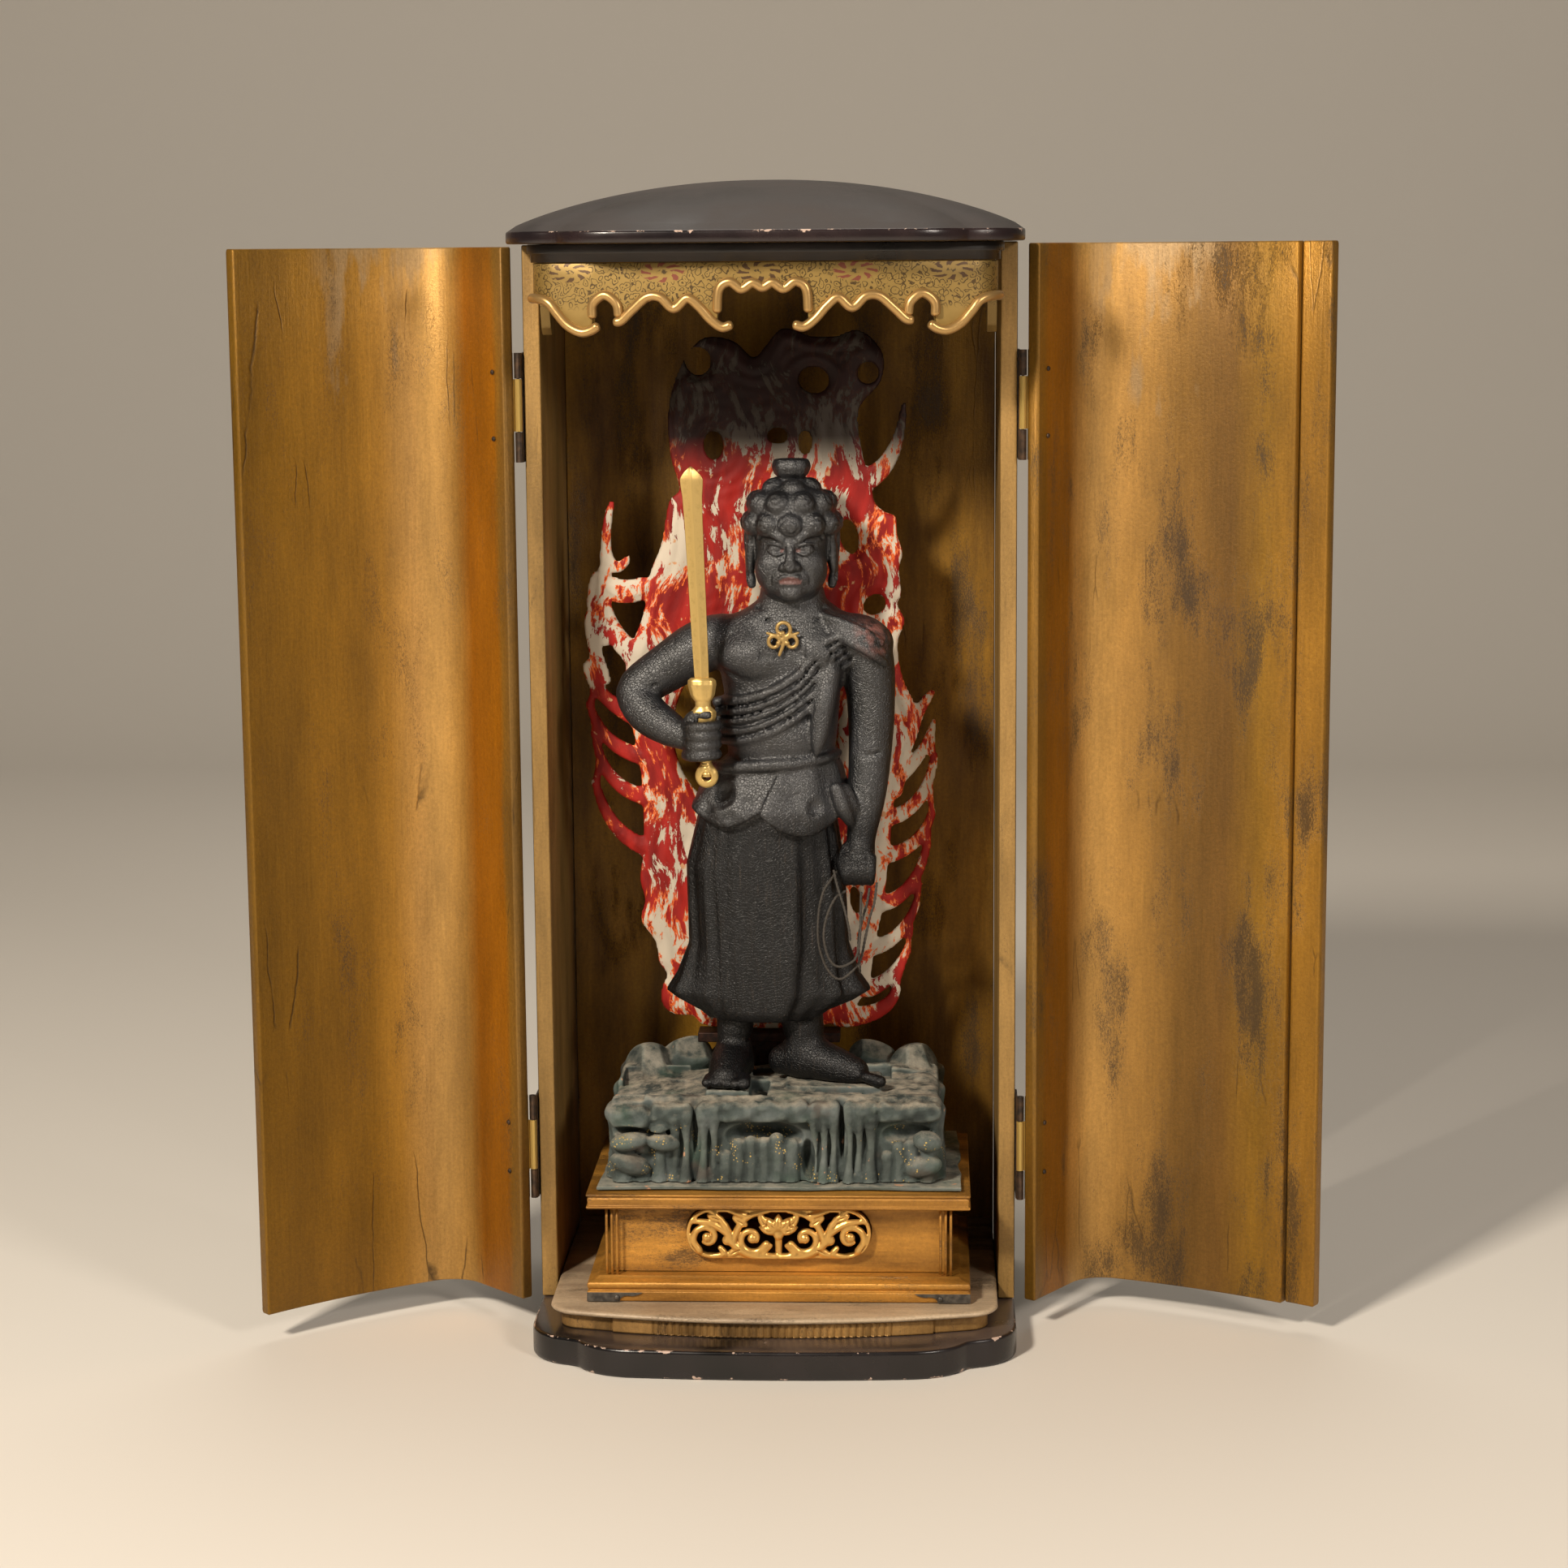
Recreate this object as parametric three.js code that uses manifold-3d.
// A portable household shrine (zushi): a black lacquered cabinet with two bent doors on
// three-knuckle hinges, gilt inside, holding a standing guardian figure on a rock, a pierced
// flame mandorla behind it and a gilt plinth below it.
//
// Millimetres, +Z up. The front faces -Y and +X is the viewer's right. The origin is on the
// underside of the base slab, in the middle of the cabinet's width, in the plane of the jambs.
import * as THREE from 'three';
import { mergeVertices } from 'three/addons/utils/BufferGeometryUtils.js';
import Module from 'manifold-3d';

const wasm = await Module();
wasm.setup();

// ---------------------------------------------------------------- driving sizes
const GAP = 0.3;               // play between pieces that touch

const HALF_W = 104;            // half the cabinet's outer width
const WALL = 7.2;              // side and back boards
const DEPTH = 99;              // jamb plane to the outside of the back
const BASE_T = 12.5;           // base slab
const ROOF_Z = 471;            // underside of the roof
const ROOF_BAND = 5;           // upright edge of the roof
const ROOF_RISE = 21;          // dome above that edge

// The doors' outer face in plan: a straight leg, a round corner and a long bow. The lintel,
// pelmet and platform follow the same curve, each set in by its own amount.
const CORNER_R = 22;
const LEG_Y = 34;
const BOW_Y = 66.5;
const BOW_R = ((HALF_W - CORNER_R) ** 2 + (BOW_Y - LEG_Y) ** 2 - CORNER_R ** 2)
  / (2 * (BOW_Y - LEG_Y - CORNER_R));
const BOW_CY = BOW_R - BOW_Y;
const CORNER_END = Math.atan2(-LEG_Y - BOW_CY, HALF_W - CORNER_R);

const DOOR_T = 5.5;
const DOOR_Z0 = BASE_T + 1;
const DOOR_Z1 = ROOF_Z - 1;
const DOOR_EDGE_Y = -2.2;      // hinge edge of a closed door
const LEFT_FREE_X = -5.2;      // free edge of the closed left door
const RIGHT_FREE_X = 9.3;      // where the right panel ends and its meeting strip starts
const STRIP_END_X = -4.6;
const STRIP_INSET = 3;         // the strip's inner face behind the panel's inner face
const STRIP_T = 6;
const LEFT_OPEN = -135;        // degrees turned from closed, as the shrine is shown
const RIGHT_OPEN = 146;

const HINGE_X = HALF_W + 2.2;
const HINGE_Y = -2;
const KNUCKLE_R = 1.6;
const PIN_R = 0.6;
const PIN_HOLE_R = 0.95;
const HINGE_H = 46;
const KNUCKLE_SPLITS = [13, 35];   // heights of the two cuts between the knuckles
const LEAF_T = 0.7;
const LEAF_L = 13;
const HINGE_Z = { upper: 380, lower: 58.5 };

const FLOOR_Z = 22;            // top of the platform
const PLINTH_X = 2;            // the plinth stands a little right of the middle
const PLINTH_HALF_W = 82.3;
const PLINTH_Y0 = -36;
const PLINTH_Y1 = 66;
const PLINTH_TOP_Z = 70;
const PLINTH_TOP_T = 7;
const FOOT_H = 10.5;
const BODY_INSET = 10;
const ROCK_SLAB_T = 1.8;
const ROCK_TOP_Z = 110;
const FIGURE_Y = 14;           // the figure's middle plane
const FLAME_Y = 43;
const FLAME_T = 5;

const wood = (color, roughness, metalness = 0) =>
  new THREE.MeshStandardMaterial({ color, roughness, metalness });
const lacquer = () => wood(0x17130f, 0.3);
const gilt = () => wood(0xa8843a, 0.45, 0.7);
const brightGilt = () => wood(0xd09a45, 0.4, 0.7);
const iron = () => wood(0x4a4039, 0.5, 0.8);
const rockPaint = () => wood(0x5a6862, 0.9);
const blackPaint = () => wood(0x25262a, 0.5);
const flamePaint = () => wood(0xa33a30, 0.7);

const shrine = new THREE.Group();

function piece(name, geometry, material, parent = shrine) {
  const mesh = new THREE.Mesh(geometry, material);
  mesh.name = name;
  parent.add(mesh);
  return mesh;
}

// ---------------------------------------------------------------- solids
function toManifold(geometry) {
  const bare = geometry.clone();
  bare.deleteAttribute('normal');
  bare.deleteAttribute('uv');
  const merged = mergeVertices(bare, 1e-4);
  return new wasm.Manifold(new wasm.Mesh({
    numProp: 3,
    vertProperties: new Float32Array(merged.attributes.position.array),
    triVerts: new Uint32Array(merged.index.array),
  }));
}

function fromManifold(manifold) {
  const mesh = manifold.getMesh();
  const geometry = new THREE.BufferGeometry();
  geometry.setAttribute('position', new THREE.BufferAttribute(mesh.vertProperties, 3));
  geometry.setIndex(new THREE.BufferAttribute(mesh.triVerts, 1));
  geometry.computeVertexNormals();
  return geometry;
}

const join = (first, ...rest) =>
  fromManifold(rest.reduce((sum, g) => sum.add(toManifold(g)), toManifold(first)));
const cut = (first, ...rest) =>
  fromManifold(rest.reduce((sum, g) => sum.subtract(toManifold(g)), toManifold(first)));

const within = (first, second) =>
  fromManifold(toManifold(first).intersect(toManifold(second)));

function box(x0, x1, y0, y1, z0, z1) {
  const geometry = new THREE.BoxGeometry(x1 - x0, y1 - y0, z1 - z0);
  geometry.translate((x0 + x1) / 2, (y0 + y1) / 2, (z0 + z1) / 2);
  return geometry;
}

const ball = (x, y, z, rx, ry, rz, w = 10, h = 7) => {
  const geometry = new THREE.SphereGeometry(1, w, h);
  geometry.rotateX(Math.PI / 2);
  geometry.scale(rx, ry, rz);
  geometry.translate(x, y, z);
  return geometry;
};

function stone(x, y, z, rx, ry, rz) {
  const geometry = new THREE.IcosahedronGeometry(1.12, 0);
  geometry.rotateZ(x);
  geometry.rotateX(y);
  geometry.scale(rx, ry, rz);
  geometry.translate(x, y, z);
  return geometry;
}

// A flat outline in plan, raised from z0 to z1.
function raise(points, z0, z1) {
  const geometry = new THREE.ExtrudeGeometry(new THREE.Shape(points),
    { depth: z1 - z0, bevelEnabled: false, curveSegments: 8 });
  geometry.translate(0, 0, z0);
  return geometry;
}

// An upright board: a shape drawn in x and z, from y0 back to y1.
function board(shape, y0, y1, curveSegments = 6) {
  const geometry = new THREE.ExtrudeGeometry(shape,
    { depth: y1 - y0, bevelEnabled: false, curveSegments });
  geometry.rotateX(Math.PI / 2);
  geometry.translate(0, y1, 0);
  return geometry;
}

// A closed skin through rings of the same number of points, capped at both ends.
function loft(rings) {
  const n = rings[0].length;
  const position = [];
  const index = [];
  for (const ring of rings) for (const p of ring) position.push(p.x, p.y, p.z);
  for (let r = 0; r < rings.length - 1; r++) {
    for (let i = 0; i < n; i++) {
      const a = r * n + i;
      const b = r * n + (i + 1) % n;
      index.push(a, b, a + n, b, b + n, a + n);
    }
  }
  const cap = (ring, start, flip) => {
    const middle = ring.reduce((sum, p) => sum.add(p), new THREE.Vector3()).divideScalar(n);
    const centre = position.length / 3;
    position.push(middle.x, middle.y, middle.z);
    for (let i = 0; i < n; i++) {
      const a = start + i;
      const b = start + (i + 1) % n;
      index.push(centre, ...(flip ? [b, a] : [a, b]));
    }
  };
  cap(rings[0], 0, true);
  cap(rings.at(-1), (rings.length - 1) * n, false);
  const geometry = new THREE.BufferGeometry();
  geometry.setAttribute('position', new THREE.Float32BufferAttribute(position, 3));
  geometry.setIndex(index);
  geometry.computeVertexNormals();
  return volumeOf(geometry) < 0 ? turnedOut(geometry) : geometry;
}

function volumeOf(geometry) {
  const p = geometry.attributes.position;
  const index = geometry.index.array;
  const [a, b, c] = [new THREE.Vector3(), new THREE.Vector3(), new THREE.Vector3()];
  let volume = 0;
  for (let i = 0; i < index.length; i += 3) {
    a.fromBufferAttribute(p, index[i]);
    b.fromBufferAttribute(p, index[i + 1]);
    c.fromBufferAttribute(p, index[i + 2]);
    volume += a.dot(b.cross(c)) / 6;
  }
  return volume;
}

function turnedOut(geometry) {
  const index = geometry.index.array;
  for (let i = 0; i < index.length; i += 3) [index[i], index[i + 1]] = [index[i + 1], index[i]];
  geometry.computeVertexNormals();
  return geometry;
}

// A level ring round (x, y): an ellipse whose radius and height a function may change.
function ring(x, y, z, rx, ry, n = 24, radius = () => 1, lift = () => 0) {
  return Array.from({ length: n }, (_, i) => {
    const t = (2 * Math.PI * i) / n;
    const k = radius(t);
    return new THREE.Vector3(x + rx * k * Math.cos(t), y + ry * k * Math.sin(t), z + lift(t));
  });
}

// A limb: round sections of changing radius along a smooth line through the stations,
// each given as [x, y, z, radius].
function limb(stations, sides = 10, steps = 8) {
  const line = new THREE.CatmullRomCurve3(
    stations.map(([x, y, z]) => new THREE.Vector3(x, y, z)), false, 'centripetal');
  const frames = line.computeFrenetFrames(steps, false);
  const last = stations.length - 1;
  return loft(Array.from({ length: steps + 1 }, (_, k) => {
    const u = k / steps;
    const t = line.getUtoTmapping(u) * last;
    const i = Math.min(Math.floor(t), last - 1);
    const r = THREE.MathUtils.lerp(stations[i][3], stations[i + 1][3], t - i);
    const middle = line.getPointAt(u);
    return Array.from({ length: sides }, (_, s) => {
      const a = (2 * Math.PI * s) / sides;
      return middle.clone()
        .addScaledVector(frames.normals[k], r * Math.cos(a))
        .addScaledVector(frames.binormals[k], r * Math.sin(a));
    });
  }));
}

// ---------------------------------------------------------------- the front curve
// The curve set in by `inset`, from the right side at height sideY round the front to the
// left side, as plan points.
function frontCurve(inset, sideY, cornerSteps = 6, bowSteps = 7) {
  const half = [[HALF_W - inset, sideY]];
  for (let i = 0; i <= cornerSteps; i++) {
    const t = (CORNER_END * i) / cornerSteps;
    half.push([HALF_W - CORNER_R + (CORNER_R - inset) * Math.cos(t),
      -LEG_Y + (CORNER_R - inset) * Math.sin(t)]);
  }
  for (let i = 1; i <= bowSteps; i++) {
    const t = THREE.MathUtils.lerp(CORNER_END, -Math.PI / 2, i / bowSteps);
    half.push([(BOW_R - inset) * Math.cos(t), BOW_CY + (BOW_R - inset) * Math.sin(t)]);
  }
  half.at(-1)[0] = 0;
  const points = half.map(([x, y]) => new THREE.Vector2(x, y));
  const mirrored = points.slice(0, -1).reverse().map((p) => new THREE.Vector2(-p.x, p.y));
  return points.concat(mirrored);
}

const bowYAt = (x, inset) => BOW_CY - Math.sqrt((BOW_R - inset) ** 2 - x * x);

// The base slab's and the roof's plan: straight sides, round corners, a crease, then a
// tongue that bows forward of the doors.
const CREASE_X = 82.5;
const CREASE_Y = -57.5;
const TONGUE_X = 60;
const TONGUE_Y = -73.2;
function boardPlan(out) {
  const shape = new THREE.Shape();
  const side = HALF_W + out;
  shape.moveTo(side, DEPTH + out);
  shape.lineTo(side, -LEG_Y);
  shape.absarc(HALF_W - CORNER_R, -LEG_Y, CORNER_R + out, 0, CORNER_END, true);
  shape.lineTo(CREASE_X, CREASE_Y - out);
  shape.quadraticCurveTo(CREASE_X - 7, TONGUE_Y + 4.5 - out, TONGUE_X, TONGUE_Y + 2.4 - out);
  shape.quadraticCurveTo(TONGUE_X / 2, TONGUE_Y - out, 0, TONGUE_Y - out);
  const half = shape.getPoints(5);
  const mirrored = half.slice(0, -1).reverse().map((p) => new THREE.Vector2(-p.x, p.y));
  return half.concat(mirrored);
}

// ---------------------------------------------------------------- cabinet
function makeCabinet() {
  piece('base_slab', raise(boardPlan(0), 0, BASE_T), lacquer());

  const z0 = BASE_T + GAP;
  const z1 = ROOF_Z - GAP;
  piece('side_right', box(HALF_W - WALL, HALF_W, 0, DEPTH, z0, z1), gilt());
  piece('side_left', box(-HALF_W, -HALF_W + WALL, 0, DEPTH, z0, z1), gilt());
  const inner = HALF_W - WALL - GAP;
  piece('back_panel', box(-inner, inner, DEPTH - WALL, DEPTH, z0, z1), gilt());

  piece('roof', domedRoof(), lacquer());

  const upper = frontCurve(6.5, -GAP).concat(frontCurve(16, -GAP).reverse());
  const lower = frontCurve(8, -GAP).concat(frontCurve(16, -GAP).reverse());
  const step = ROOF_Z - 4;
  piece('lintel', join(raise(upper, step, z1), raise(lower, ROOF_Z - 7.5, step + 0.01)),
    lacquer());
}

// The roof's plan shrinks towards the middle as the dome rises.
function domedRoof() {
  const plan = boardPlan(2);
  const middleY = (DEPTH + TONGUE_Y) / 2;
  const layer = (scale, z) => plan.map((p) =>
    new THREE.Vector3(p.x * scale, middleY + (p.y - middleY) * scale, z));
  const rise = (scale) => ROOF_Z + ROOF_BAND + ROOF_RISE * (1 - scale ** 2) ** 0.85;
  const shoulders = [0.96, 0.86, 0.7, 0.45, 0.2].map((s) => layer(s, rise(s)));
  return loft([layer(1, ROOF_Z), layer(1, ROOF_Z + ROOF_BAND), ...shoulders]);
}

function makePlatform() {
  const back = DEPTH - WALL - GAP;
  const z0 = BASE_T + GAP;
  const riserTop = FLOOR_Z - 3;

  // The riser: stepped corners and a front whose middle is cut into round ribs.
  const RIB = 3;
  const RIBS = 34;
  const STEP_X = 69;
  const corner = frontCurve(13, back, 4, 7).filter((p) => Math.abs(p.x) > STEP_X);
  const right = corner.filter((p) => p.x > 0);
  const left = corner.filter((p) => p.x < 0);
  const ribs = [];
  for (let i = 0; i <= RIBS * 2; i++) {
    const x = (RIB * (RIBS - i)) / 2;
    ribs.push(new THREE.Vector2(x, bowYAt(x, 12) + (i % 2 ? -1 : 0)));
  }
  const steps = (sign) => [[STEP_X, 12.9], [STEP_X - 0.5, 11.2], [56, 11.2]].map(([x, inset]) =>
    new THREE.Vector2(sign * x, bowYAt(x, inset)));
  const outline = [...right, ...steps(1), ...ribs, ...steps(-1).reverse(), ...left];
  piece('platform_riser', raise(outline, z0, riserTop), gilt());

  // The floor board: its rim is rounded, in three layers of the same plan.
  const rim = [[10.5, 0], [8.4, 0.7], [8, 1.6], [8.6, 2.4], [10.2, 3 - GAP]];
  piece('platform_top', loft(rim.map(([inset, h]) =>
    frontCurve(inset, back, 5, 6).map((p) =>
      new THREE.Vector3(p.x, p.y, riserTop + GAP + h)))), gilt());
}

// ---------------------------------------------------------------- pelmet
// The pelmet's edge is drawn in s and z, s being the distance along its bent front from the
// middle. Each half has three strokes of beading that end in hooks and curls.
const PELMET_INSET = 9;
const PELMET_T = 4;
const PELMET_TOP = ROOF_Z - 7.5 - GAP;
const BEAD_R = 2;
const BEAD_STROKES = [
  [[12, 438.6], [16.4, 437.4], [21, 440.5], [26, 446], [30.5, 449], [36, 445], [41.5, 449.4],
    [47, 449.4], [53, 444.5], [58, 440], [61, 440.2]],
  [[58.6, 441.5], [59.6, 447], [64.5, 450.4], [69.4, 447], [69.8, 441]],
  [[67, 438.6], [70.5, 436.2], [75, 435.6], [80.5, 438.4], [85, 443.3], [88.5, 447.4],
    [94, 449], [104, 449]],
];
const BEAD_CROWN = [[-18.4, 443], [-17.5, 452.5], [-13.2, 455.4], [-8.5, 452.6], [-4, 455],
  [0, 453.2], [4, 455], [8.5, 452.6], [13.2, 455.4], [17.5, 452.5], [18.4, 443]];
const PELMET_EDGE = [[0, 453.2], [4, 455], [8.5, 452.6], [13.2, 455.4], [17.4, 452.5],
  [18.4, 440], [21, 440.5], [26, 446], [30.5, 449], [36, 445], [41.5, 449.4], [47, 449.4],
  [53, 444.5], [57.5, 440.5], [59.4, 446.5], [64.5, 450.4], [69.4, 446.5], [70.5, 436.2],
  [75, 435.6], [80.5, 438.4], [85, 443.3], [88.5, 447.4], [94, 449], [122, 449],
  [128, 436.5], [132, 433.5], [138, 433.5]];

// The plan point at distance s along the front curve, moved out of the board by `proud`.
function alongFront(s, inset, proud = 0) {
  const bow = (BOW_R - inset) * (CORNER_END + Math.PI / 2);
  const corner = (CORNER_R - inset) * -CORNER_END;
  const d = Math.abs(s);
  const side = Math.sign(s) || 1;
  let x;
  let y;
  if (d <= bow) {
    const t = d / (BOW_R - inset) - Math.PI / 2;
    x = (BOW_R - inset + proud) * Math.cos(t);
    y = BOW_CY + (BOW_R - inset + proud) * Math.sin(t);
  } else if (d <= bow + corner) {
    const t = CORNER_END + (d - bow) / (CORNER_R - inset);
    x = HALF_W - CORNER_R + (CORNER_R - inset + proud) * Math.cos(t);
    y = -LEG_Y + (CORNER_R - inset + proud) * Math.sin(t);
  } else {
    x = HALF_W - inset + proud;
    y = -LEG_Y + (d - bow - corner);
  }
  return new THREE.Vector2(side * x, y);
}

function bead(stroke, sides = 5) {
  const flat = new THREE.SplineCurve(stroke.map(([s, z]) => new THREE.Vector2(s, z)));
  const steps = Math.round(stroke.length * 1.1);
  const points = flat.getSpacedPoints(steps).map((p) => {
    const plan = alongFront(p.x, PELMET_INSET, 0.6);
    return new THREE.Vector3(plan.x, plan.y, p.y);
  });
  const section = new THREE.Shape();
  for (let i = 0; i <= sides; i++) {
    const a = (2 * Math.PI * i) / sides;
    section[i ? 'lineTo' : 'moveTo'](BEAD_R * Math.cos(a), BEAD_R * Math.sin(a));
  }
  return new THREE.ExtrudeGeometry(section,
    { steps, extrudePath: new THREE.CatmullRomCurve3(points), bevelEnabled: false });
}

function makePelmet() {
  const half = PELMET_EDGE;
  const edge = half.slice(1).reverse().map(([s, z]) => [-s, z]).concat(half);
  const section = ([s, z]) => {
    const front = alongFront(s, PELMET_INSET);
    const behind = alongFront(s, PELMET_INSET, -PELMET_T);
    return [new THREE.Vector3(front.x, front.y, z), new THREE.Vector3(behind.x, behind.y, z),
      new THREE.Vector3(behind.x, behind.y, PELMET_TOP),
      new THREE.Vector3(front.x, front.y, PELMET_TOP)];
  };
  const flipped = BEAD_STROKES.map((stroke) => stroke.map(([s, z]) => [-s, z]).reverse());
  const beads = [BEAD_CROWN, ...BEAD_STROKES, ...flipped].map((stroke) => bead(stroke));
  piece('pelmet', join(loft(edge.map(section)), ...beads), gilt());
}

// ---------------------------------------------------------------- doors
// A closed door's section runs from its hinge edge round the corner to its free edge. `to` is
// the x where it stops; the section lies between two insets of the front curve.
function doorSection(outer, inner, from, to) {
  const run = (inset) => {
    const points = [];
    for (const p of frontCurve(inset, DOOR_EDGE_Y, 8, 9)) {
      if (p.x <= to) break;
      if (p.x <= from) points.push(p);
    }
    if (from < HALF_W) points.unshift(new THREE.Vector2(from, bowYAt(from, inset)));
    points.push(new THREE.Vector2(to, bowYAt(to, inset)));
    return points;
  };
  return run(outer).concat(run(inner).reverse());
}

const mirror = (points) => points.map((p) => new THREE.Vector2(-p.x, p.y)).reverse();

function makeDoor(side, turned) {
  const right = side === 'right';
  const sign = right ? 1 : -1;
  const door = new THREE.Group();
  door.position.set(sign * HINGE_X, HINGE_Y, 0);
  door.rotation.z = THREE.MathUtils.degToRad(turned);
  shrine.add(door);
  const atHinge = (geometry) => geometry.translate(-sign * HINGE_X, -HINGE_Y, 0);
  const oriented = (points) => (right ? points : mirror(points));

  const to = right ? RIGHT_FREE_X : -LEFT_FREE_X;
  const panel = raise(oriented(doorSection(0, DOOR_T, HALF_W, to)), DOOR_Z0, DOOR_Z1);
  piece(`door_${side}`, atHinge(panel), gilt(), door);
  if (right) {
    const face = DOOR_T - STRIP_INSET;
    const strip = doorSection(face - STRIP_T, face, RIGHT_FREE_X - GAP, STRIP_END_X);
    piece('door_right_strip', atHinge(raise(strip, DOOR_Z0, DOOR_Z1)), gilt(), door);
  }

  for (const level of ['upper', 'lower']) {
    const z = HINGE_Z[level];
    makeHinge(`${side}_${level}`, sign, z, door, atHinge);
    const nails = level === 'upper' ? [10, 38] : [12, 34];
    nails.forEach((h, i) => {
      const head = new THREE.LatheGeometry([[0, 0], [1.2, 0], [0.8, 0.6], [0, 0.8]].map(
        ([r, y]) => new THREE.Vector2(r, y)), 7);
      head.rotateZ(sign * Math.PI / 2);
      head.translate(sign * (HALF_W - DOOR_T - GAP), DOOR_EDGE_Y - 7, z + h);
      piece(`nail_${side}_${level}_${i + 1}`, atHinge(head), iron(), door);
    });
  }
}

// ---------------------------------------------------------------- hinges
function knuckle(z0, z1) {
  const shape = new THREE.Shape();
  shape.absarc(0, 0, KNUCKLE_R, 0, 2 * Math.PI);
  const hole = new THREE.Path();
  hole.absarc(0, 0, PIN_HOLE_R, 0, 2 * Math.PI, true);
  shape.holes.push(hole);
  const geometry = new THREE.ExtrudeGeometry(shape,
    { depth: z1 - z0, bevelEnabled: false, curveSegments: 5 });
  geometry.translate(0, 0, z0);
  return geometry;
}

// Two leaves lie on the outside faces: one on the cabinet's side with the outer knuckles, one
// on the door with the middle knuckle. Coordinates are from the hinge axis; `sign` mirrors.
function makeHinge(name, sign, z, door, atHinge) {
  const face = HINGE_X - HALF_W - GAP;        // axis to the leaf's inner face
  const [low, high] = KNUCKLE_SPLITS;
  const spans = (x0, x1) => (sign > 0 ? [-x1, -x0] : [x0, x1]);
  const leafX = spans(face - LEAF_T, face);
  const neck = (y0, y1, z0, z1) => box(...leafX, y0, y1, z0, z1);
  const place = (geometry) => geometry.translate(sign * HINGE_X, HINGE_Y, z);

  const cabinetLeaf = join(neck(1.75, LEAF_L, 0, HINGE_H),
    knuckle(0, low - GAP), neck(0.9, 1.8, 0, low - GAP),
    knuckle(high + GAP, HINGE_H), neck(0.9, 1.8, high + GAP, HINGE_H));
  piece(`hinge_${name}_cabinet`, place(cabinetLeaf), iron());

  const doorLeaf = join(neck(-LEAF_L, -1.75, 0, HINGE_H), knuckle(low, high),
    neck(-1.8, -0.9, low, high));
  piece(`hinge_${name}_door`, atHinge(place(doorLeaf)), iron(), door);

  const pin = new THREE.CylinderGeometry(PIN_R, PIN_R, HINGE_H, 8);
  pin.rotateX(Math.PI / 2);
  pin.translate(0, 0, HINGE_H / 2);
  piece(`hinge_${name}_pin`, place(pin), iron());
}

// ---------------------------------------------------------------- plinth
// A level rectangle set in from the plinth's outline.
const plinthRing = (inset, z) => [[-1, 0], [1, 0], [1, 1], [-1, 1]].map(([x, back]) =>
  new THREE.Vector3(PLINTH_X + x * (PLINTH_HALF_W - inset),
    back ? PLINTH_Y1 - inset : PLINTH_Y0 + inset, z));

const OPENING = { x: PLINTH_X, z: 51, halfW: 40, r: 11.3 };

function slotShape(grow) {
  const { x, z, halfW, r } = OPENING;
  const path = new THREE.Path();
  path.absarc(x + halfW - r, z, r + grow, -Math.PI / 2, Math.PI / 2, false);
  path.absarc(x - halfW + r, z, r + grow, Math.PI / 2, 1.5 * Math.PI, false);
  path.closePath();
  return path;
}

function makePlinth() {
  const profile = [[0, 0], [0, 4.3], [0.9, 4.6], [0.9, 5.4], [0.2, 5.8], [0.2, 8.2],
    [1.4, 8.6], [3.5, 9.2], [BODY_INSET - 0.5, FOOT_H - GAP]];
  piece('plinth_foot', loft(profile.map(([inset, h]) => plinthRing(inset, FLOOR_Z + GAP + h))),
    gilt());

  const z0 = FLOOR_Z + GAP + FOOT_H;
  const z1 = PLINTH_TOP_Z - PLINTH_TOP_T - GAP;
  const panelT = 5;
  const x0 = PLINTH_X - PLINTH_HALF_W + BODY_INSET;
  const x1 = PLINTH_X + PLINTH_HALF_W - BODY_INSET;
  const y0 = PLINTH_Y0 + BODY_INSET;
  const y1 = PLINTH_Y1 - BODY_INSET;
  const front = new THREE.Shape([[x0, z0], [x1, z0], [x1, z1], [x0, z1]].map(([x, z]) =>
    new THREE.Vector2(x, z)));
  front.holes.push(slotShape(0));
  piece('plinth_body', join(board(front, y0, y0 + panelT, 7),
    box(x0, x0 + panelT, y0 + panelT - 0.01, y1, z0, z1),
    box(x1 - panelT, x1, y0 + panelT - 0.01, y1, z0, z1),
    box(x0 + panelT - 0.01, x1 - panelT + 0.01, y1 - panelT, y1, z0, z1)), gilt());

  const edge = [[0.6, 0], [0, 0.6], [0, 1.3], [0.7, 1.7], [0.5, 4.6], [0.9, 5], [0.9, 5.5],
    [0, 5.9], [0, 6.7], [0.4, 7 - GAP]];
  piece('plinth_top', loft(edge.map(([inset, h]) =>
    plinthRing(inset, PLINTH_TOP_Z - PLINTH_TOP_T + h))), gilt());

  makeOpenwork(y0);
  for (const side of [-1, 1]) makeFitting(side);
}

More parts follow.
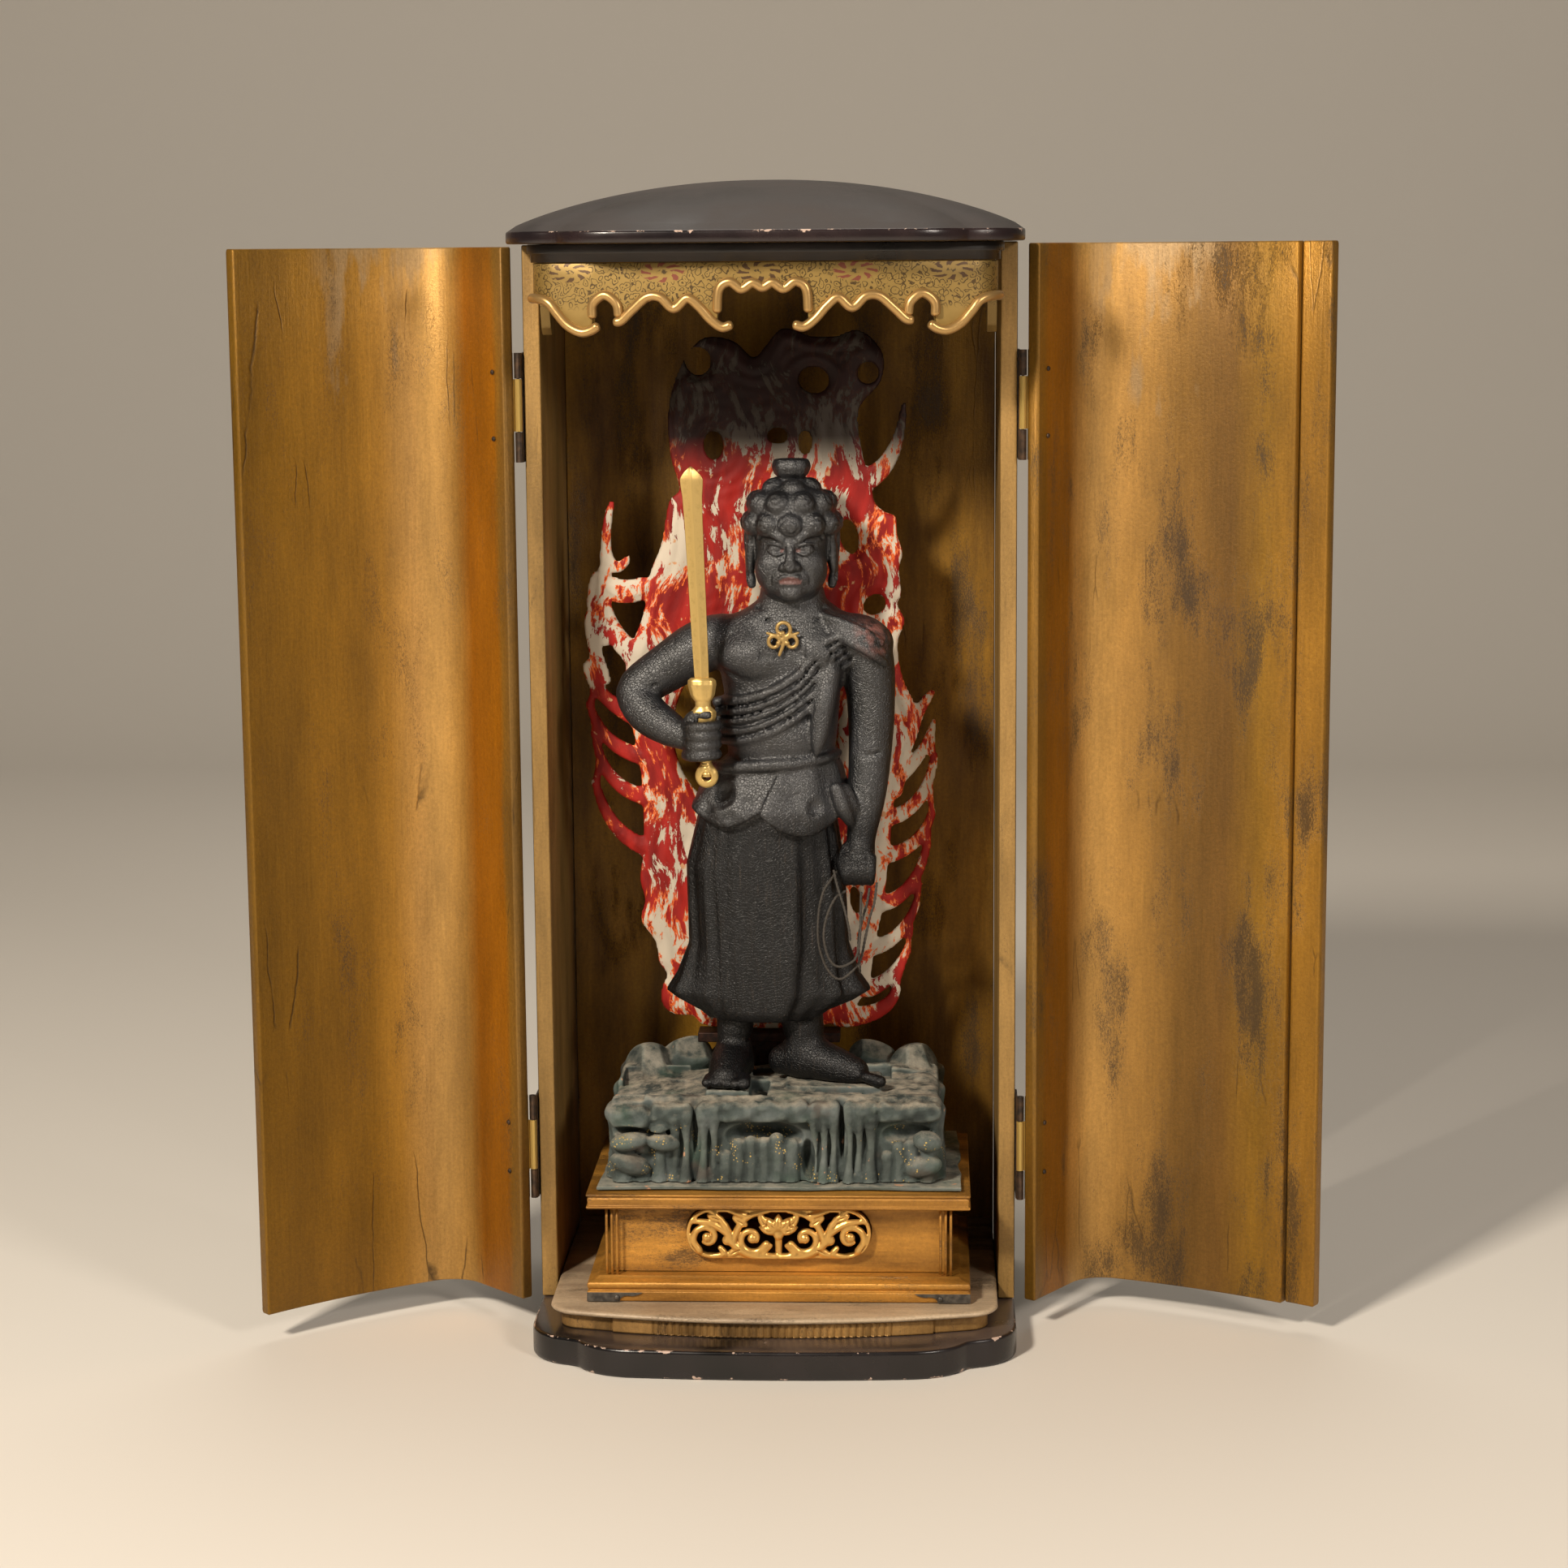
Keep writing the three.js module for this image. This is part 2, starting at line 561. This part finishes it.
// The openwork: scrolls and leaves of round stems inside a frame, all one carving.
function makeOpenwork(y0) {
  const { x, z, halfW, r } = OPENING;
  const y = y0 + 2;
  const frame = new THREE.Shape(slotShape(-GAP).getPoints(4));
  frame.holes.push(slotShape(-1.9));
  const stem = (points, radii) => limb(points.map(([dx, dz], i) =>
    [x + dx, y + 0.6, z + dz, radii[i]]), 4, points.length + 1);
  const parts = [];
  for (const s of [-1, 1]) {
    const spiral = (cx, cz, radius, from, turn, n, thick) =>
      Array.from({ length: n }, (_, i) => {
        const k = i / (n - 1);
        const a = THREE.MathUtils.degToRad(from + turn * k);
        const rr = radius * (1 - 0.62 * k);
        return [s * (cx + rr * Math.cos(a)), cz + rr * Math.sin(a), thick * (1 - 0.35 * k)];
      });
    const sweep = (list) => stem(list.map(([a, b]) => [a, b]), list.map((p) => p[2]));
    parts.push(sweep(spiral(11.5, -2.5, 6.6, 200, 330, 7, 1.5)));
    parts.push(sweep(spiral(31, -2, 6.4, -60, 330, 7, 1.5)));
    parts.push(sweep([[s * 2, -10.4, 1.5], [s * 12, -9.6, 1.6], [s * 20, -4, 1.6],
      [s * 22.5, 3, 1.4], [s * 28, 9.8, 1.1]]));
    parts.push(sweep([[s * 20, -4, 1.4], [s * 17, 3, 1.3], [s * 13, 7.4, 1.1], [s * 5, 9.9, 1]]));
    parts.push(sweep([[s * 22, 0, 1.4], [s * 29, 4.5, 1.3], [s * 38.2, 5.4, 1]]));
  }
  const petals = [-72, -36, 0, 36, 72].map((deg) => {
    const a = THREE.MathUtils.degToRad(deg);
    const [c, d] = [Math.sin(a), Math.cos(a)];
    return limb([[x, y - 0.2, z + 0.6, 1.2], [x + 4.5 * c, y - 0.8, z + 1 + 4 * d, 2],
      [x + 8.6 * c, y - 0.2, z + 1 + 7.6 * d, 0.4]], 4, 3);
  });
  const stalk = limb([[x, y, z - 11, 1.4], [x, y, z + 1, 1.6]], 4, 2);
  const room = board(new THREE.Shape(slotShape(-GAP).getPoints(4)), y - 5, y + 3, 4);
  piece('plinth_openwork', within(join(board(frame, y - 1, y + 2, 4), ...parts, ...petals,
    stalk), room), brightGilt());
}

// A sheet-metal corner plate with a scalloped end, and its round nail.
function makeFitting(side) {
  const t = 0.5;
  const y = PLINTH_Y0 - GAP - t;
  const corner = PLINTH_X + side * PLINTH_HALF_W;
  const h = 4;
  const z0 = FLOOR_Z + GAP + 0.1;
  const shape = new THREE.Shape();
  const sx = (d) => corner - side * d;
  shape.moveTo(sx(0), z0);
  shape.lineTo(sx(0), z0 + h);
  shape.lineTo(sx(24), z0 + h);
  shape.quadraticCurveTo(sx(22), z0 + 2.6, sx(19), z0 + 2.4);
  shape.quadraticCurveTo(sx(16.5), z0 + 3.2, sx(14.5), z0 + 1.6);
  shape.lineTo(sx(14), z0);
  piece(`fitting_${side < 0 ? 'left' : 'right'}`, board(shape, y, y + t, 4), iron());
  const head = new THREE.LatheGeometry([[0, 0], [1.3, 0], [1, 0.6], [0, 0.9]].map(
    ([r, k]) => new THREE.Vector2(r, k)), 8);
  head.rotateX(Math.PI);
  head.translate(sx(13), y - GAP, z0 + 2);
  piece(`fitting_nail_${side < 0 ? 'left' : 'right'}`, head, iron());
}

// ---------------------------------------------------------------- rocks
const ROCK = { x0: -71, x1: 72, y0: -28, y1: 60 };

function makeRocks() {
  const z0 = PLINTH_TOP_Z + GAP;
  const slabZ1 = z0 + ROCK_SLAB_T - GAP;
  const wavy = Array.from({ length: 40 }, (_, i) => {
    const t = (2 * Math.PI * i) / 40;
    const [c, s] = [Math.cos(t), Math.sin(t)];
    const k = 1 / Math.max(Math.abs(c), Math.abs(s));
    const ripple = 0.6 * Math.sin(7 * t) + 0.5 * Math.sin(13 * t + 1);
    return new THREE.Vector2(2.5 + (77.6 + ripple) * Math.min(1, Math.max(-1, c * k)),
      16 + (46.6 + ripple) * Math.min(1, Math.max(-1, s * k)));
  });
  piece('rock_slab', raise(wavy, z0, slabZ1), rockPaint());

  const n = 40;
  const midX = (ROCK.x0 + ROCK.x1) / 2;
  const midY = (ROCK.y0 + ROCK.y1) / 2;
  const [hx, hy] = [(ROCK.x1 - ROCK.x0) / 2, (ROCK.y1 - ROCK.y0) / 2];
  // Craggy rings: a rounded rectangle whose sides are folded into upright columns.
  const crag = (scale, z, depth, shift) => Array.from({ length: n }, (_, i) => {
    const t = (2 * Math.PI * i) / n;
    const [c, s] = [Math.cos(t), Math.sin(t)];
    const k = (Math.abs(c) ** 6 + Math.abs(s) ** 6) ** (-1 / 6);
    const fold = depth * (0.6 * Math.abs(Math.sin(5.5 * t + shift)) + 0.4 * Math.sin(11 * t + 2));
    const r = scale - fold / hx;
    return new THREE.Vector3(midX + hx * r * k * c, midY + hy * (scale - fold / hy) * k * s, z);
  });
  const body = loft([crag(1.01, slabZ1 + GAP, 3, 0), crag(0.975, 88, 4, 0.3),
    crag(1, 101, 1.5, 0.8), crag(1, 106.5, 1.2, 1), crag(0.9, ROCK_TOP_Z - 0.4, 0.6, 1)]);
  const hollows = [
    ball(14, ROCK.y0 - 1, 94, 17, 11, 7.5, 7, 5), ball(28, ROCK.y0 - 2, 86, 5, 13, 14, 7, 5),
    ball(60, ROCK.y0 - 2, 93, 13, 9, 5, 7, 5), ball(-60, ROCK.y0 - 2, 93, 10, 6, 4, 7, 5),
    ball(-38, ROCK.y0 - 3, 84, 5, 9, 13, 7, 5),
  ];
  // Boulders and broken ledges round the edge of the block.
  const knobs = [
    stone(-61, 38, 107, 10, 11, 11), stone(-43, 50, 109, 15, 9, 9.5), stone(-20, 54, 106, 13, 6, 7),
    stone(61, 44, 107, 11, 12, 9.5), stone(42, 52, 107, 15, 7.5, 8.5), stone(64, 10, 103, 9, 15, 7.5),
    stone(-64, -19, 99, 8.5, 9.5, 9), stone(-65, 8, 102, 8, 14, 7), stone(5, -22, 84, 11, 7, 9),
    stone(-12, -24, 82, 8, 6, 9), stone(65, -20, 89, 8, 9, 7), stone(-64, -22, 82, 8, 8, 7),
    stone(-48, -24, 84, 8, 6, 12), stone(46, -24, 84, 9, 6, 12), stone(64, -22, 78, 7, 7, 6),
  ];
  const floor = box(-90, 90, -45, 80, slabZ1 - 10, slabZ1 + GAP);
  const socket = box(-24 - GAP, 15 + GAP, FLAME_Y - 2 - GAP, FLAME_Y + FLAME_T + 2 + GAP,
    106 - GAP, 130);
  const seat = box(-36.5 - GAP, 27 + GAP, FLAME_Y - 4 - GAP, FLAME_Y + FLAME_T + 4 + GAP,
    118, 130);
  const solid = cut(join(cut(body, ...hollows), ...knobs), floor, socket, seat);
  piece('rocks', solid, rockPaint());
}

// ---------------------------------------------------------------- figure
// One carving. Sections are [z, middle x, half width, half depth], all about FIGURE_Y.
const TORSO = [[236, 0, 24, 17], [254, 3, 23, 17.5], [265, 3, 24, 18.5], [280, 3.5, 25, 18.5],
  [296, 4.5, 28, 18.5], [306, 6.5, 32, 16], [312, 7.5, 30, 14.5], [316.5, 8, 23, 13],
  [321, 6.5, 14, 12.5], [330, 6, 13, 13]];
const SKIRT = [[137, -5.5, 24, 16, 0], [140.5, -5.2, 26.5, 18.5, 0.08],
  [149, -3.2, 29.5, 19.5, 0.54], [157, -3.4, 30.5, 20, 0.3], [170, -3, 32.5, 20.5, 0.07],
  [205, -4.2, 33.4, 19.5, 0.03], [232, -3, 29, 18.5, 0]];
const APRON = [[227.5, -3.5, 34.6, 23.5], [230, -3.5, 35.6, 24.6], [241, -0.5, 29.5, 21],
  [249, 1.5, 25.5, 18.3], [251, 1.8, 22.5, 16.5]];

// The hair: three tiers of round curls, each tier a belt that swells and pinches in turn.
const HAIR = [[348, 17, 0], [351, 19.6, 0], [355, 20.3, 0], [359, 19, 0], [360.5, 18.6, 1],
  [364, 18.4, 1], [367.5, 15.4, 1], [369, 13.4, 2], [372, 11.6, 2], [375, 6, 2]];
const hair = () => loft(HAIR.map(([z, r, tier]) => ring(8.2, FIGURE_Y - 0.5, z, r, r * 0.97, 20,
  (t) => 1 + 0.05 * Math.cos((tier === 2 ? 5 : 10) * t + tier * 1.6))));

function faceParts() {
  const [x, y, z] = [8.2, FIGURE_Y - 5, 343];
  const front = y - 14.6;
  const both = (make) => [-1, 1].map(make);
  return [
    ball(x, y, z, 15.8, 15.5, 20.5, 12, 9),
    ball(x, FIGURE_Y + 2, 348, 17.3, 17.3, 14, 10, 6),
    limb([[x, front + 1.5, z + 5, 1.6], [x, front - 0.6, z - 1.5, 2.2],
      [x, front - 2, z - 5.4, 3.6]], 5, 3),
    ...both((s) => limb([[x + s, front + 0.4, z + 4.6, 1.6], [x + 6 * s, front + 0.6, z + 7.4, 2],
      [x + 11.5 * s, front + 4.4, z + 9.2, 1.2]], 4, 3)),
    ...both((s) => ball(x + 5.6 * s, front + 2, z + 2.2, 3.3, 1.8, 1.5, 6, 4)),
    limb([[x - 6, front + 3, z - 12, 0.8], [x, front + 0.4, z - 11, 2],
      [x + 6, front + 3, z - 12, 0.8]], 4, 3),
    ball(x, front + 4.2, z - 16.5, 6, 4.4, 4, 6, 4),
    ...both((s) => limb([[x + 16.8 * s, FIGURE_Y - 3, 353, 2.4],
      [x + 18.4 * s, FIGURE_Y - 2, 342, 2.6], [x + 16.8 * s, FIGURE_Y - 3.5, 328.5, 2.2]], 4, 3)),
    loft([[366, 4.5], [374, 4.6], [376.5, 8.2], [380, 6]].map(([h, r]) =>
      ring(x, FIGURE_Y, h, r, r, 12, (t) => 1 + 0.07 * Math.cos(6 * t)))),
  ];
}

// A hand's fingers: short limbs side by side.
const fingers = (list) => list.map((stations) => limb(stations, 5, 3));

function makeFigure() {
  const y = FIGURE_Y;
  const at = (rows, n, radius, lift = () => () => 0) => loft(rows.map((row, i) => {
    const [z, cx, rx, ry] = row;
    return ring(cx, y, z, rx, ry, n, (t) => (radius ? radius(t, row) : 1), lift(i));
  }));
  // The skirt hangs in upright folds and swings out to a point on each side above the hem.
  const folds = (t, row) => (1 + 0.04 * Math.cos(12 * t + 0.5) * (0.4 + 0.6 * Math.abs(Math.sin(t))))
    * (1 + row[4] * Math.abs(Math.cos(t)) ** 5);
  const skirt = at(SKIRT, 36, folds);
  // The folded top of the skirt hangs over it in front as two rounded flaps.
  const flap = (t) => {
    const front = Math.max(0, -Math.sin(t));
    const lobes = Math.abs(Math.cos(1.65 * (t - 1.5 * Math.PI) + 0.35));
    return -9 * front * Math.sin(Math.PI * Math.min(1, 1.15 * Math.abs(lobes - 1)) / 1.2) ** 1;
  };
  const apron = at(APRON, 24, (t) => 1 + 0.012 * Math.cos(9 * t),
    (i) => (t) => (i < 2 ? flap(t) : 0));
  const cloth = [
    limb([[28, y - 2, 232, 3.5], [31, y - 3, 226, 4], [33, y - 2, 219.5, 2]], 5, 3),
  ];
  const belly = [
    ball(3, y - 5, 263, 20, 15, 17, 10, 7),
    ball(-8, y - 6.5, 295, 15, 13.6, 11, 8, 6),
    ball(16, y - 6.5, 296, 14, 13.6, 11, 8, 6),
  ];
  // The cloth over the far shoulder: a cap, three sash folds across the chest, a loose end.
  const sash = [
    ball(37, y - 1, 303, 15, 13.5, 9.5, 9, 6),
    ...[0, 1, 2].map((i) => limb([[35 - 2.4 * i, y - 14 + i, 309 - 1.5 * i, 2.5],
      [28 - 2.6 * i, y - 17.6, 292 - 1.5 * i, 2.7], [14 - i, y - 19, 279 - 3 * i, 2.7],
      [-5, y - 18, 269 - 3.2 * i, 2.5], [-17, y - 12.5, 266 - 3 * i, 2.2]], 5, 6)),
    limb([[24, y - 13, 284, 4.6], [21.5, y - 16, 272, 4.4], [20, y - 16, 263, 3.4],
      [19.5, y - 15.5, 257, 1.4]], 6, 3),
  ];
  // The raised forearm carries the sword; the other arm hangs and holds the cord.
  const arms = [
    limb([[-8, y, 303, 9], [-22, y, 303.5, 11.6], [-33, y - 0.5, 299.5, 11.8],
      [-46, y - 2, 291.5, 10.6], [-56, y - 3.5, 284.5, 9.6], [-59, y - 5.5, 279.5, 9.2],
      [-53, y - 10.5, 272, 8.8], [-44, y - 16, 266.5, 7.4], [-37, y - 20.5, 263, 6.6]], 8, 11),
    limb([[31, y, 306, 10], [39, y, 298, 11.5], [41.5, y, 276, 10.3], [41.5, y - 1, 256, 9.4],
      [40, y - 4, 236, 8.6], [37.8, y - 7, 220, 6.9], [37, y - 9, 212, 7.2],
      [36.3, y - 10, 204, 5.6]], 8, 9),
    ball(-30.5, y - 23.2, 262.5, 7.6, 7.2, 8.4, 8, 5),
    ball(37, y - 10, 209, 6.6, 7.4, 9.6, 8, 5),
  ];
  const grip = fingers([0, 1, 2, 3].map((i) => {
    const z = 268.3 - 4 * i;
    return [[-36, y - 24, z - 0.6, 2.2], [-32, y - 31.3, z, 2.3], [-25.6, y - 31, z + 0.4, 2.2],
      [-22.6, y - 26, z + 0.6, 1.9]];
  }));
  const hanging = fingers([0, 1, 2, 3].map((i) => {
    const x = 31.5 + 3.3 * i;
    return [[x, y - 15.5, 208, 2.1], [x - 0.4, y - 17, 202, 2.1], [x - 0.8, y - 13, 199.6, 2],
      [x - 0.6, y - 9.5, 202, 1.8]];
  }));
  const thumb = limb([[31, y - 10, 212, 2.3], [29, y - 14, 206, 2.3], [30.5, y - 17, 202, 1.8]], 5, 3);
  const legs = [
    limb([[-17, y, 150, 9.6], [-18.3, y, 132, 8.2], [-18.6, y + 1, 118, 7.8],
      [-18.6, y + 2, 114, 8.4]], 8, 3),
    limb([[9, y, 150, 10.6], [11.5, y, 132, 9.2], [12.5, y, 119, 9], [13, y, 115, 9.4]], 8, 3),
    // the feet: one towards the front, one turned outwards
    limb([[-18, y + 7, 116, 7], [-19.6, y - 2, 118, 9.4], [-21, y - 12, 115, 10.2],
      [-22, y - 20, 112.8, 9.2], [-22.5, y - 25.5, 112, 5.4]], 8, 5),
    limb([[4, y + 2, 117, 7], [13, y - 1, 119, 9.8], [24, y - 6, 116, 10],
      [34, y - 10, 113.6, 8.6], [43.5, y - 13, 112, 4.2]], 8, 5),
  ];
  const toes = [0, 1, 2, 3, 4].map((i) => ball(-29.2 + 4 * i, y - 26 + 0.7 * Math.abs(i - 3), 112.4,
    i === 4 ? 2.9 : 2.1, 4.6, 2.8, 5, 4));
  const under = box(-60, 60, -40, 60, 90, ROCK_TOP_Z + GAP);
  const solid = join(at(TORSO, 16), skirt, apron, ...cloth, ...belly, ...sash, ...arms, ...grip,
    ...hanging, thumb, ...legs, ...toes, ...faceParts(), hair());
  const tight = swordParts(0.35).concat(under, pendantRoom());
  piece('figure', cut(solid, ...tight), blackPaint());
}

// ---------------------------------------------------------------- sword and pendant
// A tapered two-edged blade on a bound hilt, a plain grip and a pierced drop for pommel. It
// leans a little: `lean` gives the x of its middle line at any height. `grow` makes it fatter
// for cutting the hand's opening.
const SWORD_Y = -12.2;
const lean = (z) => -28 - (z - 254.5) * 0.0405;

function swordParts(grow) {
  const row = (z, half, thick, n = 4) =>
    ring(lean(z), SWORD_Y, z, half + grow, thick + grow, n);
  const blade = loft([row(286, 3, 1.3), row(301.5, 3.3, 1.4), row(340, 3.7, 1.4),
    row(366, 4.2, 1.4), row(373.4, 4.9, 1.4), row(378.5, 0.3, 0.3)]);
  const hilt = loft([[269.5, 2.9, 2.6], [272.7, 5.1, 3.2], [275, 5.3, 3.2], [276.6, 3.6, 2.6],
    [279.5, 3.4, 2.6], [282, 5, 3.1], [284.4, 5.4, 3.2], [286, 5.9, 3.1],
    [289.3, 5.6, 2.4]].map(([z, half, thick]) => row(z, half, thick, 8)));
  const grip = loft([row(247, 2.2, 2.2, 8), row(270, 2.7, 2.7, 8)]);
  const drop = loft([[241.8, 1.6, 1.2], [244, 4.4, 2], [247.4, 5.1, 2.2], [250.6, 4.2, 2.1],
    [254.5, 2.3, 1.8]].map(([z, half, thick]) => row(z, half, thick, 8)));
  return [blade, hilt, grip, drop];
}

const PENDANT_Z = 305.5;
const PENDANT_X = 4.8;
const PENDANT_Y = -5.4;
const pendantRoom = () => box(-4, 13.5, -20, PENDANT_Y + 1.6, 296.4, 314.5);

function makeSword() {
  const eye = new THREE.CylinderGeometry(2, 2, 12, 8);
  eye.translate(lean(247.4), SWORD_Y, 247.2);
  piece('sword', cut(join(...swordParts(0)), eye), brightGilt());
  // The pendant: a gilt scroll cut from flat sheet, three open curls joined in the middle.
  const wire = (points, r = 0.85) => limb(points.map(([dx, dz]) =>
    [PENDANT_X + dx, PENDANT_Y, PENDANT_Z + dz, r]), 4, points.length);
  const curl = (cx, cz, r, from, sweep, s = 1) => wire(Array.from({ length: 7 }, (_, i) => {
    const a = THREE.MathUtils.degToRad(from + (sweep * i) / 6);
    const k = r * (1 - (0.35 * i) / 6);
    return [s * (cx + k * Math.cos(a)), cz + k * Math.sin(a)];
  }));
  piece('pendant', join(curl(0, 3.6, 3.6, -80, 330), curl(3.6, -2, 3, 130, -300),
    curl(3.6, -2, 3, 130, -300, -1), wire([[-6.6, 2], [-3, 0.6], [0, -1], [3, 0.6], [6.6, 2]]),
    wire([[0, 2], [0.4, -2], [-1.5, -7.4]])), brightGilt());
}

// ---------------------------------------------------------------- flames
// The mandorla: one board whose rim breaks into tongues. The trunk is outlined, the tongues
// are tapered strokes [start, bend, tip, radius at the start, radius at the tip] in x and z.
const TRUNK = [[-43, 369], [-41, 364], [-47.5, 362], [-50, 339], [-56, 330], [-58, 309],
  [-69, 288], [-66, 266], [-61, 245], [-60, 222], [-60, 204], [-63, 191], [-58.5, 182],
  [-64, 173], [-54, 163], [-55, 153], [-49, 148], [-53.5, 143], [-53.5, 133], [-47, 128.5],
  [-38, 130], [-36, 124], [-20, 123], [27, 123], [40, 140], [42, 160], [47, 180], [49, 202],
  [51, 219], [51, 236], [67, 262], [54, 282], [52, 297], [58, 307], [51.5, 315], [56, 317],
  [53, 330], [56.5, 337], [52.5, 344], [53.5, 354], [48, 354], [43, 358], [42, 366],
  [38, 380], [34, 400], [48, 411], [48.5, 424], [37, 436], [26, 430], [16, 430.5], [8, 434.5],
  [2, 435], [-4, 427], [-9, 419.5], [-17, 430.5], [-32, 432.5], [-41.5, 419], [-47.5, 401],
  [-46.5, 380]];
const TONGUES = [
  [[-60, 289], [-84, 309], [-74, 334], 4.6, 2.2], [[-74, 330], [-76, 346], [-72, 359], 2.3, 1.1],
  [[-76, 298], [-85, 313], [-80, 328], 2.2, 0.9], [[-74, 334], [-70, 327], [-65, 335], 2, 1],
  [[-73, 322], [-67, 318], [-58, 322], 4.5, 4.2], [[-82.4, 309], [-82, 296], [-76, 281], 2.2, 2.5],
  [[-84, 287], [-80, 271], [-58, 262], 1.6, 3.8], [[-83, 270], [-78, 249], [-56, 246], 1.4, 3.8],
  [[-81, 257], [-78, 231], [-56, 228], 1.4, 3.6], [[-81, 235], [-76, 211], [-57, 205], 1.6, 3.8],
  [[56, 401], [54, 374], [38, 368], 1.2, 4.6], [[51, 232], [54, 256], [68, 275], 4.5, 1.6],
  [[69, 262], [64, 243], [50, 236], 1.3, 3.2], [[69, 246], [66, 224], [50, 219], 1.6, 3.2],
  [[68, 221], [63, 205], [48, 202], 1.5, 3.2], [[66, 207], [61, 184], [46, 180], 1.5, 3.2],
  [[61, 180], [55, 163], [41, 160], 1.5, 3.2], [[57, 159], [51, 145], [39, 141], 1.5, 3.4],
  [[52, 141], [49, 129], [27, 128], 1.6, 4.4]];
// holes: [x, z, half width, half height, lean in degrees]
const FLAME_HOLES = [[32, 344, 3.8, 7.5, 12], [43, 314, 5, 4, 30], [-27, 384, 4, 6, 0],
  [13, 385, 2.8, 5, 0], [1, 388, 4.4, 3.2, 0], [-33.3, 420.5, 5.4, 5.8, 12], [17, 412, 6.5, 5.5, -10],
  [-10, 258, 36, 39, 0], [34, 182, 2.2, 6, 8], [40.5, 415, 4.4, 4.6, 0]];

function tongue([start, bend, tip, r0, r1]) {
  const line = new THREE.QuadraticBezierCurve(new THREE.Vector2(...start),
    new THREE.Vector2(...bend), new THREE.Vector2(...tip));
  const near = [];
  const far = [];
  const steps = 3;
  for (let i = 0; i <= steps; i++) {
    const t = i / steps;
    const side = line.getTangent(t);
    const r = THREE.MathUtils.lerp(r0, r1, t);
    const p = line.getPoint(t);
    near.push(new THREE.Vector2(p.x - side.y * r, p.y + side.x * r));
    far.push(new THREE.Vector2(p.x + side.y * r, p.y - side.x * r));
  }
  const end = line.getPoint(1).addScaledVector(line.getTangent(1), r1);
  return new THREE.Shape([...near, end, ...far.reverse()]);
}

function makeFlames() {
  const trunk = new THREE.Shape(TRUNK.map(([x, z]) => new THREE.Vector2(x, z)));
  for (const [x, z, a, b, tilt] of FLAME_HOLES) {
    const hole = new THREE.Path();
    hole.absellipse(x, z, a, b, 0, 2 * Math.PI, true, THREE.MathUtils.degToRad(tilt));
    trunk.holes.push(new THREE.Path(hole.getPoints(a > 20 ? 14 : 4).slice(0, -1)));
  }
  const strokes = TONGUES.map((s) => board(tongue(s), FLAME_Y + 0.4, FLAME_Y + FLAME_T - 0.4, 1));
  piece('flames', join(board(trunk, FLAME_Y, FLAME_Y + FLAME_T, 1), ...strokes), flamePaint());

  // The block behind the feet that carries the mandorla on its tenon.
  piece('flame_bracket', join(box(-36.5, 27, FLAME_Y - 4, FLAME_Y + FLAME_T + 4,
    118 + GAP, 123 - GAP), box(-24, 15, FLAME_Y - 2, FLAME_Y + FLAME_T + 2, 106, 118.5)),
    iron());
}

// ---------------------------------------------------------------- cord
// The lasso in the hanging hand: two loops and two short tails, each one length of cord.
const CORD_R = 0.6;
const CORD_LINES = {
  cord_outer_loop: [[26.9, -2.9, 203.8], [24.9, -6, 201.4], [21.4, -8, 196], [19.4, -8.4, 187],
    [19.1, -8.6, 176.4], [20.4, -8.8, 169], [23, -9, 162.6], [26.3, -9, 158.8],
    [29.2, -9, 158.3], [32.6, -9, 160.6], [35.8, -8.6, 164], [37.8, -8.2, 168.2],
    [39.2, -7.6, 175], [41.2, -7.2, 184.5], [43.2, -7, 191], [44.3, -4.4, 199.5]],
  cord_inner_loop: [[31, -6.4, 196.2], [26.6, -10.4, 193.8], [23, -11.4, 186],
    [21.6, -11.8, 178], [22.8, -11.8, 170.5], [25, -11.8, 166], [28, -11.8, 164.2],
    [32, -11.6, 165.2], [35.6, -11.2, 168.6], [37.2, -10.4, 178], [37.4, -8.4, 188],
    [37.6, -5.4, 195.4]],
  cord_tail_left: [[25.9, -5.2, 205], [27.5, -9.8, 199], [30.6, -12.4, 189.5],
    [32.4, -12.4, 181], [33, -12, 175.5]],
  cord_tail_right: [[41.2, -4, 197], [40, -4.6, 190], [38.2, -5.2, 184], [36.4, -5.4, 174.3],
    [37, -5.2, 160]],
};

function makeCords() {
  for (const [name, stations] of Object.entries(CORD_LINES)) {
    const line = new THREE.CatmullRomCurve3(stations.map((p) => new THREE.Vector3(...p)));
    const section = new THREE.Shape();
    for (let i = 0; i < 8; i++) {
      const a = (2 * Math.PI * i) / 8;
      section[i ? 'lineTo' : 'moveTo'](CORD_R * Math.cos(a), CORD_R * Math.sin(a));
    }
    const steps = Math.round(stations.length * 1.25);
    piece(name, new THREE.ExtrudeGeometry(section,
      { steps, extrudePath: line, bevelEnabled: false }), wood(0x1c1814, 0.8));
  }
}

makeCabinet();
makePlatform();
makePelmet();
makeDoor('left', LEFT_OPEN);
makeDoor('right', RIGHT_OPEN);
makePlinth();
makeRocks();
makeFigure();
makeSword();
makeFlames();
makeCords();

export default shrine;
